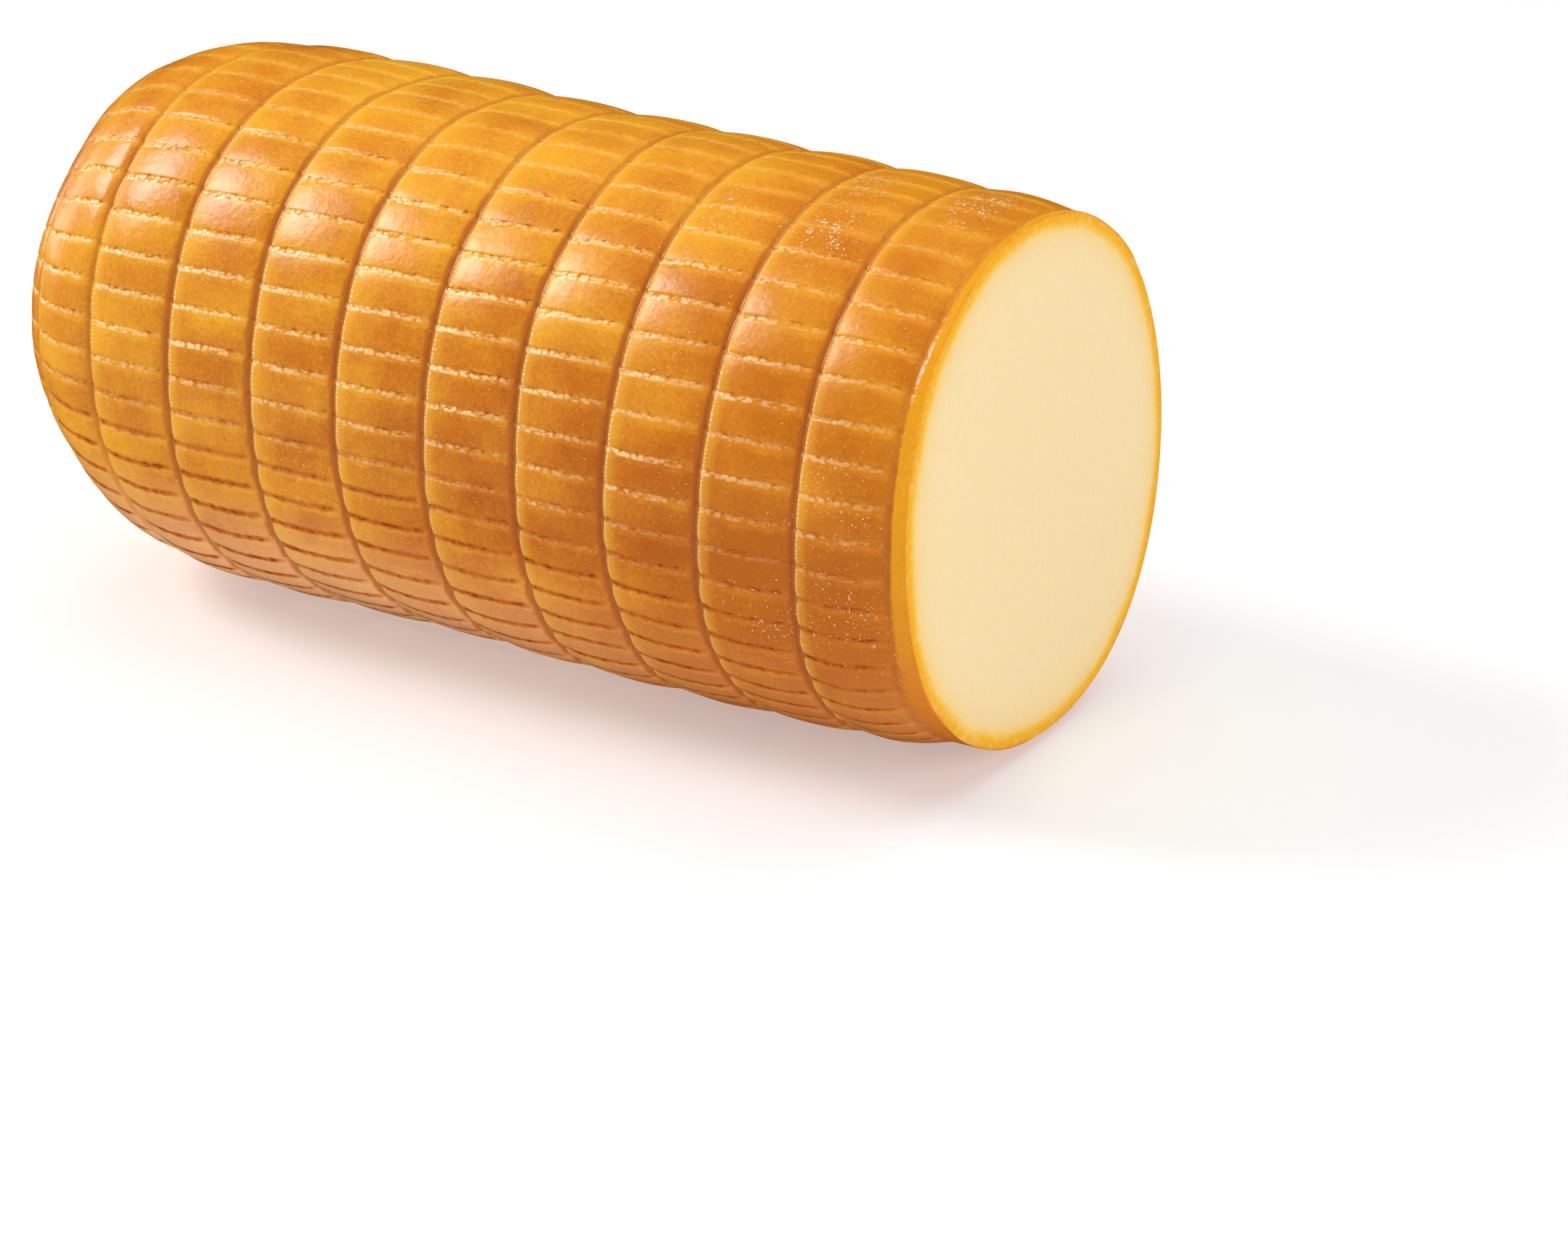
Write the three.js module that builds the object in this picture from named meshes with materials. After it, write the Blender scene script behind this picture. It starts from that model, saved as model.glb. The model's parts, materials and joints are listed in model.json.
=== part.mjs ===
// A smoked mozzarella loaf: a netted log with one end sliced off, lying on its side.
// Millimetres, +Z up. The flat cut face looks along +X and the rounded, gathered end is at -X.
// The net has left hoop grooves round the loaf and fine string lines along it.
import * as THREE from 'three';

// The log
const crestRadius = 50;         // axis to the crest of a band, at taperDatum
const taper = 0.0219;           // radius lost for each millimetre towards the cut
const taperDatum = -80;         // where along the loaf the radius is crestRadius
const outOfRound = 0.46;        // the section is this much squarer than a circle
const restDepth = 1.8;          // how far the soft underside is pressed flat

// Hoop grooves, counted from the cut back to the gathered end
const bandWidths = [17.4, 17.8, 18.1, 18.1, 18.7, 18.6, 19.0, 18.6, 18.3, 16.8, 17.7];
const crownDrop = 0.8;          // a band's edge below its crest
const hoopDepth = 1.3;          // groove below the band's edge
const hoopHalfWidth = 0.9;

// String lines, counted upwards from the front of the loaf
const stringCount = 50;
const stringPhase = THREE.MathUtils.degToRad(5.9);
const stringCrowding = 0.125;   // spacing is this share wider at the top and closer underneath
const stringDepth = 0.6;
const stringHalfWidth = 0.6;

// Rounded end
const domeStart = -148.2;
const domeLength = 50;
const domePower = 2.96;         // a superellipse, fuller than a ball
const domeRise = 3;             // how far the tip stands above the axis
const shoulderDip = 1.55;       // the rounded end is a little sunk at its upper front
const shoulderAngle = THREE.MathUtils.degToRad(45);
const shoulderPower = 8;        // higher keeps the dip to fewer strings
const shoulderPlace = 203;      // along the outline, from the cut end
const shoulderSpan = 24;
const gatherRadius = 8;         // where the net was tied
const gatherDepth = 3.5;
const gatherFolds = 25;
const pleatDepth = 0.9;         // the strings sink deeper as they draw together

// Cut face: a plane that leans, so that the loaf is longer at its underside
const cutAhead = 3;             // on the axis, in front of the first hoop's front edge
const cutLean = 0.059;          // forward for each millimetre down
const cutSwing = 0.026;         // forward for each millimetre towards the back
const cutShrink = 1.4;          // the loaf draws in beside the cut, though hardly on top
const cutShrinkSpan = 12;
const cutShrinkTopShare = 0.9;  // of the draw that is missing on top
const underDraw = 1.6;          // the front underside draws in further back too
const underDrawSpan = 45;
const underDrawAngle = THREE.MathUtils.degToRad(-70);
const shortLipShare = 0.6;      // of the space left where the cut runs close to the hoop

const frontReach = 10;          // where the meridian starts, in front of the first hoop
const fullTurn = 2 * Math.PI;

const clamp01 = (value) => THREE.MathUtils.clamp(value, 0, 1);
const loafRadius = (x) => crestRadius - taper * (x - taperDatum);
const domeShare = (x) => clamp01((domeStart - x) / domeLength);
const axisHeight = (x) => loafRadius(x) - restDepth + domeRise * domeShare(x) ** 2;
const cutX = (y, z) => cutAhead + cutSwing * y - cutLean * (z - axisHeight(0));

// Outline of the loaf from the cut to the tip, as distance along and radius.
class Meridian extends THREE.Curve {
  constructor() {
    super();
    this.arcLengthDivisions = 2000;
  }

  getPoint(t, target = new THREE.Vector2()) {
    if (t < 0.5) {
      const x = THREE.MathUtils.lerp(frontReach, domeStart, 2 * t);
      return target.set(x, loafRadius(x));
    }
    const turn = (2 * t - 1) * Math.PI / 2;
    const x = domeStart - domeLength * Math.abs(Math.sin(turn)) ** (2 / domePower);
    return target.set(x, loafRadius(x) * Math.abs(Math.cos(turn)) ** (2 / domePower));
  }
}

const meridian = new Meridian();
const meridianLength = meridian.getLength();

// Angle of each string line: 0 looks to the front (-Y), a quarter turn looks up.
const stringAngles = Array.from({ length: stringCount }, (_, k) => {
  const even = fullTurn * k / stringCount + stringPhase;
  return even - stringCrowding * Math.cos(even);
});

// How far the loaf draws in towards the cut.
function cutDraw(s, angle) {
  const nearCut = (span) => THREE.MathUtils.smoothstep(frontReach + span - s, 0, span);
  const onTop = Math.max(Math.sin(angle), 0) ** 3;
  const under = Math.max(Math.cos(angle - underDrawAngle), 0) ** 4;
  return cutShrink * nearCut(cutShrinkSpan) * (1 - cutShrinkTopShare * onTop)
    + underDraw * nearCut(underDrawSpan) * under;
}

// How far the rounded end is sunk at its upper front.
function shoulderDraw(s, angle) {
  const along = Math.exp(-(((s - shoulderPlace) / shoulderSpan) ** 2));
  return shoulderDip * along * Math.max(Math.cos(angle - shoulderAngle), 0) ** shoulderPower;
}

// A point on the loaf: s along the meridian, angle round it, inset below the crests.
function loafPoint(s, angle, inset) {
  const share = s / meridianLength;
  const point = meridian.getPointAt(share);
  const tangent = meridian.getTangentAt(share);
  const depth = inset + cutDraw(s, angle) + shoulderDraw(s, angle);
  const x = point.x - depth * tangent.y;
  const squared = outOfRound * Math.cos(4 * angle) * point.y / crestRadius;
  const radius = point.y + depth * tangent.x - squared;
  const z = axisHeight(point.x) + radius * Math.sin(angle);
  return new THREE.Vector3(x, -radius * Math.cos(angle), Math.max(z, 0));
}

// A row crossed by the strings has three points at each: shoulder, valley, shoulder.
function stringRow(s, inset, place = loafPoint) {
  const half = stringHalfWidth / meridian.getPointAt(s / meridianLength).y;
  return stringAngles.flatMap((angle) => [
    { angle: angle - half, at: place(s, angle - half, inset) },
    { angle, at: place(s, angle, inset + stringDepth) },
    { angle: angle + half, at: place(s, angle + half, inset) },
  ]);
}

// The floor of a hoop groove has one point at each string.
function grooveRow(s) {
  return stringAngles.map((angle) => ({ angle, at: loafPoint(s, angle, crownDrop + hoopDepth) }));
}

// Near the gather the strings stand so close that they leave pleats: valley, ridge.
function pleatRow(s, inset, pleats = stringCount) {
  const step = stringCount / pleats;
  const valleys = stringAngles.filter((_, k) => k % step === 0);
  return valleys.flatMap((angle, k) => {
    const next = k + 1 < pleats ? valleys[k + 1] : valleys[0] + fullTurn;
    const ridge = (angle + next) / 2;
    return [
      { angle, at: loafPoint(s, angle, inset + pleatDepth) },
      { angle: ridge, at: loafPoint(s, ridge, inset) },
    ];
  });
}

// Edge of the cut, and the front edge of the first hoop behind it.
function cutEdgePoint(s, angle, inset) {
  const point = loafPoint(s, angle, inset);
  return point.setX(cutX(point.y, point.z));
}

function frontLipPoint(s, angle, inset) {
  const cut = cutEdgePoint(s, angle, inset);
  const room = cut.x + hoopHalfWidth;
  const width = Math.min(hoopHalfWidth, shortLipShare * room);
  const sunk = hoopDepth * (1 - width / hoopHalfWidth);
  return loafPoint(s, angle, inset + sunk).setX(width - hoopHalfWidth);
}

function buildRows() {
  const rows = [
    stringRow(frontReach, crownDrop, cutEdgePoint),
    stringRow(frontReach, crownDrop, frontLipPoint),
  ];
  let s = frontReach + hoopHalfWidth;
  bandWidths.forEach((width, band) => {
    const crossed = band < bandWidths.length - 1 ? stringRow : pleatRow;
    rows.push(
      grooveRow(s),
      crossed(s + hoopHalfWidth, crownDrop),
      crossed(s + width / 2, 0),
      crossed(s + width - hoopHalfWidth, crownDrop),
    );
    s += width;
  });
  const gatherEdge = meridianLength - gatherRadius;
  rows.push(
    grooveRow(s),
    pleatRow((s + gatherEdge) / 2, 0),
    pleatRow(gatherEdge, crownDrop, gatherFolds),
  );
  return rows;
}

// Joins two rows of points, going round and always taking the nearer next point.
function joinRows(first, second, triangles) {
  const angleAt = (row, i) => row[i % row.length].angle + fullTurn * Math.floor(i / row.length);
  const indexAt = (row, i) => row[i % row.length].index;
  let a = 0;
  let b = 0;
  while (a < first.length || b < second.length) {
    const firstNext = b === second.length || angleAt(first, a + 1) <= angleAt(second, b + 1);
    if (a < first.length && firstNext) {
      triangles.push(indexAt(first, a), indexAt(first, a + 1), indexAt(second, b));
      a += 1;
    } else {
      triangles.push(indexAt(first, a), indexAt(second, b + 1), indexAt(second, b));
      b += 1;
    }
  }
}

function buildLoaf() {
  const positions = [];
  const triangles = [];
  const addPoint = (at) => positions.push(at.x, at.y, at.z) / 3 - 1;
  const rows = buildRows();
  rows.forEach((row) => row.forEach((point) => { point.index = addPoint(point.at); }));
  for (let i = 0; i + 1 < rows.length; i += 1) joinRows(rows[i], rows[i + 1], triangles);

  const cutRow = rows[0];
  const cutCentre = addPoint(new THREE.Vector3(cutX(0, axisHeight(0)), 0, axisHeight(0)));
  cutRow.forEach((point, k) => {
    triangles.push(cutCentre, cutRow[(k + 1) % cutRow.length].index, point.index);
  });

  const lastRow = rows[rows.length - 1];
  const tip = addPoint(loafPoint(meridianLength, 0, gatherDepth));
  lastRow.forEach((point, k) => {
    triangles.push(point.index, lastRow[(k + 1) % lastRow.length].index, tip);
  });

  const geometry = new THREE.BufferGeometry();
  geometry.setAttribute('position', new THREE.Float32BufferAttribute(positions, 3));
  geometry.setIndex(triangles);
  geometry.computeVertexNormals();
  return geometry;
}

const smokedRind = new THREE.MeshStandardMaterial({ color: 0xd68a2c, roughness: 0.42, metalness: 0 });
const loaf = new THREE.Mesh(buildLoaf(), smokedRind);
loaf.name = 'cheese_loaf';

// The origin is on the table, under the middle of the loaf.
loaf.geometry.computeBoundingBox();
const middle = loaf.geometry.boundingBox.getCenter(new THREE.Vector3());
loaf.position.set(-middle.x, -middle.y, 0);

const part = new THREE.Group();
part.add(loaf);

export default part;
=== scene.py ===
import json
import math
from functools import partial
import bpy
import numpy as np
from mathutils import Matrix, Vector

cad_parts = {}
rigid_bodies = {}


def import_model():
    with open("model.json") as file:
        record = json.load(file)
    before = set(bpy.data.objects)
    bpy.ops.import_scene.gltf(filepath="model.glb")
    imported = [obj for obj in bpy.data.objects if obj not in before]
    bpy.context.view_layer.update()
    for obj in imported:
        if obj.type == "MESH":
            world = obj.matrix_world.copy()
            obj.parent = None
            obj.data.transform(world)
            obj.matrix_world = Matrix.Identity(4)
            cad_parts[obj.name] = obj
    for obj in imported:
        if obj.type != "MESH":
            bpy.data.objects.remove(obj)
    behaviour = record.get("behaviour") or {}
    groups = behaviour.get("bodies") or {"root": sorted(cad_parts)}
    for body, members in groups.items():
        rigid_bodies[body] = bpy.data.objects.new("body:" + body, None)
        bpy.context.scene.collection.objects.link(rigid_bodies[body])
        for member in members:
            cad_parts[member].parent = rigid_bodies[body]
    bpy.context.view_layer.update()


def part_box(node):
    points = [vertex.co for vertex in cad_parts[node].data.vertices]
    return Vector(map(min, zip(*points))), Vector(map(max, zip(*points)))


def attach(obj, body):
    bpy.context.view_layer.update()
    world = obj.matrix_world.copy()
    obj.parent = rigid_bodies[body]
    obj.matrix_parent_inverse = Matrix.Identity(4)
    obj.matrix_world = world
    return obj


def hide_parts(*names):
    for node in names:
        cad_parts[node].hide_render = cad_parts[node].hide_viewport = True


for leftover in list(bpy.data.objects):  # the start-up cube, lamp and camera
    bpy.data.objects.remove(leftover)
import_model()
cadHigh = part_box("cheese_loaf")[1]

mm = 0.001  # Blender works in metres, the sizes below are in mm
fullTurn = 2 * math.pi
dice = np.random.default_rng(41)

# The log: x is 0 at the front edge of the first hoop and runs back to minus,
# angle 0 faces the front (-Y) and a quarter turn looks up.
log = {
    "crestRadius": 50.0,  # axis to a band's crest, at taperDatum
    "taper": 0.0219,  # radius lost for each mm towards the cut
    "taperDatum": -80.0,
    "outOfRound": 0.46,  # a little squarer than a circle
    "restDepth": 1.8,  # the soft underside is pressed flat
    "restBlend": 0.4,  # mm over which it rounds
    "domeStart": -148.2,
    "domeLength": 50.0,
    "domePower": 2.96,  # superellipse, fuller than a ball
    "domeRise": 3.0,  # tip above the axis
    "shoulderDip": 1.55,  # the rounded end is a little sunk at its upper front
    "shoulderAngle": math.radians(45),
    "shoulderPower": 8,
    "shoulderPlace": 203.0,
    "shoulderSpan": 24.0,
    "frontReach": 10.0,  # the outline starts this far in front of the first hoop
    "lumpSizes": (34.0, 9.0),  # low unevenness all over
    "lumpHeights": (0.22, 0.05),
    "lumpSeeds": (3, 8),
}

# Hoops of the net, pressed in round the log
hoops = {
    "bandWidths": (17.4, 17.8, 18.1, 18.1, 18.7, 18.6, 19.0, 18.6, 18.3, 16.8, 17.7),
    "pitch": 18.2,  # mean band width
    "crownDrop": (0.65, 0.8),  # a band's edge below its crest: at its front end, at its lip
    "crownPower": (2.4, 2.0),
    "depth": 0.5,
    "topShare": 0.6,  # of that depth, over the top
    "firstDepth": 0.25,  # the hoop beside the cut is shallower
    "firstBack": 0.9,  # and a little further back
    "farHoop": 10,  # the hoop past the rounded end's shoulder is hardly pressed in
    "farShare": 0.4,
    "centre": 0.9,  # behind the groove's front edge
    "frontWall": (0.45, 0.85),  # steep side, under the sharp lip
    "backWall": (0.2, 0.9),  # soft side, where the band behind rolls down
    "topFade": 0.35,  # of its painted shade missing on top
    "firstFade": 0.55,  # beside the cut
    "domeFade": 0.6,  # and on the rounded end
    "dome": (-140.0, -166.0),  # which begins there along the log
    "rowsInGroove": (-0.98, -0.8, -0.56, 0.0, 0.28, 0.55, 0.9),  # mm from its middle
    "rowsInBand": 7,
    "wobble": 0.16,  # mm that a hoop strays, in each of its waves
    "waves": (2, 3, 4, 5),  # round the log
}

# Strings of the net, running along the log
strings = {
    "count": 50,
    "phase": math.radians(5.9),
    "crowding": 0.125,  # wider spaced on top, closer underneath
    "pitch": 6.28,  # mean spacing
    "depth": (0.12, 0.04),  # on the upper side of the log, and low down, as in the next two pairs
    "floor": (0.25, 0.1),  # half width of a print's floor
    "edge": (0.6, 0.55),  # half width at the brick's edge
    "uneven": 0.25,  # prints differ this much in depth
    "columnsInGroove": (0.0, 0.3, 0.5, 0.7),  # mm from its middle
    "columnsInBrick": 3,
    "skew": math.radians(0.7),  # each string climbs this much across a band, then steps back
    "jitter": 0.12,  # mm that it strays
    "pillow": (0.02, 0.08),  # a brick swells between its strings: above, and low down
    "knot": (0.08, 0.2),  # dent where string and hoop cross
    "knotSpan": (0.9, 1.6),  # mm across the string and along it
    "lobe": (0.05, 0.2),  # a brick's end bulges over the hoop
    "lobeFrom": (-6.0, -1.0),  # mm before the hoop's middle, where that grows
    "lobeLip": 0.8,  # and dies out
    "frontShare": 0.12,  # hardly any print between the first hoop and the cut
    "frontFade": 0.8,  # mm over which it fades
    "rollFade": (0.03, 0.13),  # share of a band where it rolls down and the print begins
    "yarn": (0.15, 0.05),  # depth of the yarn's own marks, as fine relief
    "topFade": 0.95,  # of that depth that is missing on top
    "lowSide": (-0.32, 0.22),  # where low down begins, by height over the axis as a share of the radius
    "top": (0.78, 0.93),  # and where the top begins, by sine of the angle
    "flecks": (0.6, 1.2),  # pale flecks, partly paler cheese and partly painted glints, differ from string to string
    "fleckBelow": 0.92,  # of them missing low down
    "fleckTop": 0.45,  # and on top
    "fleckDry": 0.5,  # and on dry rind
    "fleckAlong": (0.25, 0.75),  # they grow along a band, between these shares of it
    "fleckStart": 0.55,  # from this strength
    "brickTones": (-0.5, 1.0),  # bricks differ in tone
}

# Where the net was drawn together and tied
gather = {
    "radius": 7.0,  # the tied dimple
    "depth": 3.5,
    "folds": 25,
    "foldDepth": 0.9,
    "foldWander": ((0.8, 3, 1.0), (0.5, 7, 2.0)),  # strength, waves round the log, turn
    "foldSharpness": 1.4,
    "foldFade": (14.0, 32.0),  # mm from the tip where the folds die out
    "foldStart": (0.5, 6.0),  # and where they begin
    "line": 0.3,  # string lines outside the folds
    "lineFrom": (10.0, 24.0),
    "edgeSpan": 7.0,  # the last hoop's edge rolls up over this
    "rows": 9,
    "innerRows": 5,
    "tipGap": 0.5,  # between the innermost row and the tip
    "tipAmount": 0.3,  # each painted amount at the tip
}

# The knife's plane: it leans, so that the log is longer underneath
cut = {
    "ahead": 3.0,  # on the axis, in front of the first hoop
    "lean": 0.059,  # forward for each mm down
    "swing": 0.026,  # forward for each mm towards the back
    "shrink": 1.4,  # the log draws in beside the cut, though hardly on top
    "shrinkSpan": 12.0,
    "shrinkTopShare": 0.9,
    "shrinkTopPower": 3,
    "underDraw": 1.6,  # and its front underside further back too
    "underDrawSpan": 45.0,
    "underDrawAngle": math.radians(-70),
    "underDrawPower": 4,
    "edgeRound": 0.12,  # mm, the edge that the knife left
    "stripFrom": (0.35, 0.9),  # mm in front of the first hoop's middle, where a plain strip begins
    "stripGuess": 4.0,  # its width to start with, until the plane is found
    "stripSettles": 6,
    "frontRows": (0.85, 0.65, 0.45, 0.28, 0.12),  # shares of the strip
    "rimRows": (0.15, 0.4, 0.8, 1.4, 2.2, 3.5, 5.5),  # mm in from the edge
    "innerRows": (9.0, 15.0, 23.0, 32.0),
    "innerStep": 5,  # of these points, one for so many of the edge
}


def smooth(low, high, value):
    share = np.clip((value - low) / (high - low), 0, 1)
    return share * share * (3 - 2 * share)


def lumps(points, size, seed, waves=14, spread=(0.7, 1.5)):  # soft unevenness, about -1 to 1
    draw = np.random.default_rng(seed)
    total = np.zeros(points.shape[:-1])
    for wave in range(waves):
        way = draw.normal(size=3)
        way *= fullTurn / (size * draw.uniform(*spread)) / np.linalg.norm(way)
        total += np.cos(points @ way + draw.uniform(0, fullTurn))
    return total / math.sqrt(waves)


def between(pair, share):  # from a pair's first value to its second
    return pair[0] + (pair[1] - pair[0]) * share


def lowSide(rise):  # 0 on the upper side of the log, 1 low down
    return 1 - smooth(*strings["lowSide"], rise)


def logRadius(x):  # axis to crest
    return log["crestRadius"] - log["taper"] * (x - log["taperDatum"])


def axisHeight(x):
    domeShare = np.clip((log["domeStart"] - x) / log["domeLength"], 0, 1)
    return logRadius(x) - log["restDepth"] + log["domeRise"] * domeShare ** 2


def cutX(y, z):  # where the knife's plane is
    return cut["ahead"] + cut["swing"] * y - cut["lean"] * (z - axisHeight(0.0))


def traceOutline(steps=3000):  # the log's outline from the cut to the tip, by arc length
    straight = np.linspace(log["frontReach"], log["domeStart"], steps)
    turn = np.linspace(0, math.pi / 2, steps)[1:]
    power = 2 / log["domePower"]
    domeX = log["domeStart"] - log["domeLength"] * np.sin(turn) ** power
    domeR = logRadius(domeX) * np.abs(np.cos(turn)) ** power
    x = np.concatenate([straight, domeX])
    r = np.concatenate([logRadius(straight), domeR])
    s = np.concatenate([[0], np.cumsum(np.hypot(np.diff(x), np.diff(r)))])
    tangentX, tangentR = np.gradient(x, s), np.gradient(r, s)
    length = np.hypot(tangentX, tangentR)
    return {"s": s, "x": x, "r": r, "tx": tangentX / length, "tr": tangentR / length}


outline = traceOutline()
outlineLength = outline["s"][-1]


def onOutline(name, s):
    return np.interp(s, outline["s"], outline[name])


def stringAngle(k):
    even = fullTurn * k / strings["count"] + strings["phase"]
    return even - strings["crowding"] * np.cos(even)


def layColumns():  # angles round the log, crowded at each string
    near = np.array(strings["columnsInGroove"]) / log["crestRadius"]
    angles, owners, shares, places = [], [], [], []
    for k in range(strings["count"]):
        here, after = stringAngle(k), stringAngle(k + 1)
        left, right = here + near[-1], after - near[-1]
        brick = np.linspace(left, right, strings["columnsInBrick"] + 2)[1:-1]
        new = np.concatenate([here + near, brick, (after - near)[:0:-1]])
        angles.append(new)
        owners.append(np.full(len(new), k))
        shares.append(np.clip((new - left) / (right - left), 0, 1))
        places.append((new - here) / (after - here))
    return [np.concatenate(part) for part in (angles, owners, shares, places)]


def layRows():  # places along the outline, crowded at each hoop
    grooveRows = np.array(hoops["rowsInGroove"])
    behind, before = grooveRows[grooveRows >= 0], grooveRows[grooveRows < 0]
    s = log["frontReach"] + hoops["centre"] + hoops["firstBack"]
    rows, bands, shares, places, gaps = [], [], [], [], []
    for band, width in enumerate(hoops["bandWidths"]):
        width -= hoops["firstBack"] if band == 0 else 0
        left, right = s + behind[-1], s + width + before[0]
        inBand = np.linspace(left, right, hoops["rowsInBand"] + 2)[1:-1]
        new = np.concatenate([s + behind, inBand, s + width + before])
        rows.append(new)
        bands.append(np.full(len(new), band))
        shares.append(np.clip((new - left) / (right - left), 0, 1))
        places.append((new - s) / width)
        fromHere, fromNext = new - s, new - s - width
        gaps.append(np.where(np.abs(fromHere) < np.abs(fromNext), fromHere, fromNext))
        s += width
    gatherEdge = outlineLength - gather["radius"]
    new = np.concatenate([
        s + behind,
        np.linspace(s + behind[-1], gatherEdge, gather["rows"] + 1)[1:],
        np.linspace(gatherEdge, outlineLength - gather["tipGap"], gather["innerRows"] + 1)[1:],
    ])
    rows.append(new)
    bands.append(np.full(len(new), len(hoops["bandWidths"])))
    shares.append(np.zeros(len(new)))
    places.append((new - s) / (outlineLength - s))
    gaps.append(new - s)
    return [np.concatenate(part) for part in (rows, bands, shares, places, gaps)]


columnAngle, columnString, columnShare, columnPlace = layColumns()
rowS, rowBand, rowShare, rowPlace, rowGap = layRows()
columnGap = np.minimum(columnAngle - stringAngle(columnString),
                       stringAngle(columnString + 1) - columnAngle) * log["crestRadius"]
nearestString = (columnString + (columnPlace >= 0.5)) % strings["count"]


def cutDraw(s, angle):  # how far the log draws in towards the cut
    ahead = log["frontReach"] - s
    nearEdge = smooth(0, cut["shrinkSpan"], ahead + cut["shrinkSpan"])
    nearEnd = smooth(0, cut["underDrawSpan"], ahead + cut["underDrawSpan"])
    onTop = np.maximum(np.sin(angle), 0) ** cut["shrinkTopPower"]
    under = np.maximum(np.cos(angle - cut["underDrawAngle"]), 0) ** cut["underDrawPower"]
    return (cut["shrink"] * nearEdge * (1 - cut["shrinkTopShare"] * onTop)
            + cut["underDraw"] * nearEnd * under)


def shoulderDraw(s, angle):  # how far the rounded end is sunk
    along = np.exp(-((s - log["shoulderPlace"]) / log["shoulderSpan"]) ** 2)
    facing = np.maximum(np.cos(angle - log["shoulderAngle"]), 0) ** log["shoulderPower"]
    return log["shoulderDip"] * along * facing


def hoopGroove(gap):  # 1 on a groove's floor, 0 outside it
    front = 1 - smooth(*hoops["frontWall"], -gap)
    back = 1 - smooth(*hoops["backWall"], gap)
    return np.where(gap < 0, front, back)


def place(s, angle, inset):  # a point of the log, inset below its crests
    x, r = onOutline("x", s), onOutline("r", s)
    tx, tr = onOutline("tx", s), onOutline("tr", s)
    depth = inset + cutDraw(s, angle) + shoulderDraw(s, angle)
    radius = r + depth * tx - log["outOfRound"] * np.cos(4 * angle) * r / log["crestRadius"]
    y = -radius * np.cos(angle)
    z = axisHeight(x) + radius * np.sin(angle)
    z = 0.5 * (z + np.sqrt(z * z + log["restBlend"] ** 2))  # rests flat on the table
    return np.stack(np.broadcast_arrays(x - depth * tr, y, z), -1)


def pickDraws():  # the net's unevenness, drawn once
    bandCount = len(hoops["bandWidths"]) + 1
    shape = (bandCount + 1, strings["count"])
    waveShape = (bandCount + 1, len(hoops["waves"]))
    return {
        "jitter": dice.normal(0, strings["jitter"], shape) / log["crestRadius"],
        "stringDepth": dice.uniform(1 - strings["uneven"], 1 + strings["uneven"], shape),
        "brickTone": dice.uniform(*strings["brickTones"], shape),
        "fleck": dice.uniform(*strings["flecks"], shape),
        "hoopWave": dice.normal(0, hoops["wobble"], waveShape),
        "hoopTurn": dice.uniform(0, fullTurn, waveShape),
    }


draws = pickDraws()


def hoopWobble(band, angle):  # mm that a hoop strays along the log
    total = np.zeros(np.broadcast(band, angle).shape)
    for order, waves in enumerate(hoops["waves"]):
        wave = np.cos(waves * angle + draws["hoopTurn"][band, order])
        total += draws["hoopWave"][band, order] * wave
    return total


def crownDrop(bandPlace):  # how far a band is below its crest
    fromMiddle = 2 * np.clip(bandPlace, 0, 1) - 1
    (frontDrop, lipDrop), (frontPower, lipPower) = hoops["crownDrop"], hoops["crownPower"]
    return np.where(fromMiddle < 0, frontDrop * np.abs(fromMiddle) ** frontPower,
                    lipDrop * np.abs(fromMiddle) ** lipPower)


def netRelief(band, bandPlace, gap, angle, share=1.0):
    # everything that the net pressed into the rind, as depth below the crests
    low = lowSide(np.sin(angle))
    nearestHoop = band + (bandPlace > 0.5)
    pressed = np.where(nearestHoop == hoops["farHoop"], hoops["farShare"], 1.0)
    overTop = 1 - (1 - hoops["topShare"]) * smooth(*strings["top"], np.sin(angle))
    atFirst = (band == 0) & (bandPlace < 0.5)
    hoopDepth = np.where(atFirst, hoops["firstDepth"], hoops["depth"]) * overTop
    hoop = pressed * (crownDrop(bandPlace) + hoopDepth * hoopGroove(gap))
    line = 1 - smooth(between(strings["floor"], low), between(strings["edge"], low), columnGap)
    depth = between(strings["depth"], low) * draws["stringDepth"][band, nearestString]
    pillow = between(strings["pillow"], low) * (1 - (2 * columnPlace - 1) ** 2)
    knotAcross, knotAlong = strings["knotSpan"]
    crossing = np.exp(-(columnGap / knotAcross) ** 2 - (gap / knotAlong) ** 2)
    knot = between(strings["knot"], low) * crossing
    return hoop + share * (depth * line + knot - pillow)


def gatherRelief(s, angle, gap):  # the same where the net was drawn together
    radius = np.maximum(outlineLength - s, 0)
    folding = gather["folds"] * angle
    for strength, waves, turn in gather["foldWander"]:
        folding = folding + strength * np.sin(waves * angle + turn)
    folds = (0.5 + 0.5 * np.cos(folding)) ** gather["foldSharpness"]
    foldShare = (1 - smooth(*gather["foldFade"], radius)) * smooth(*gather["foldStart"], radius)
    dimple = gather["depth"] * np.exp(-(radius / gather["radius"]) ** 2)
    line = 1 - smooth(strings["floor"][1], strings["edge"][0], columnGap)
    line = gather["line"] * line * smooth(*gather["lineFrom"], radius)
    hoop = hoops["crownDrop"][0] * (1 - smooth(0, gather["edgeSpan"], gap))
    hoop = hoop + hoops["depth"] * hoopGroove(gap)
    return hoop + gather["foldDepth"] * folds * foldShare + dimple + line


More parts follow.
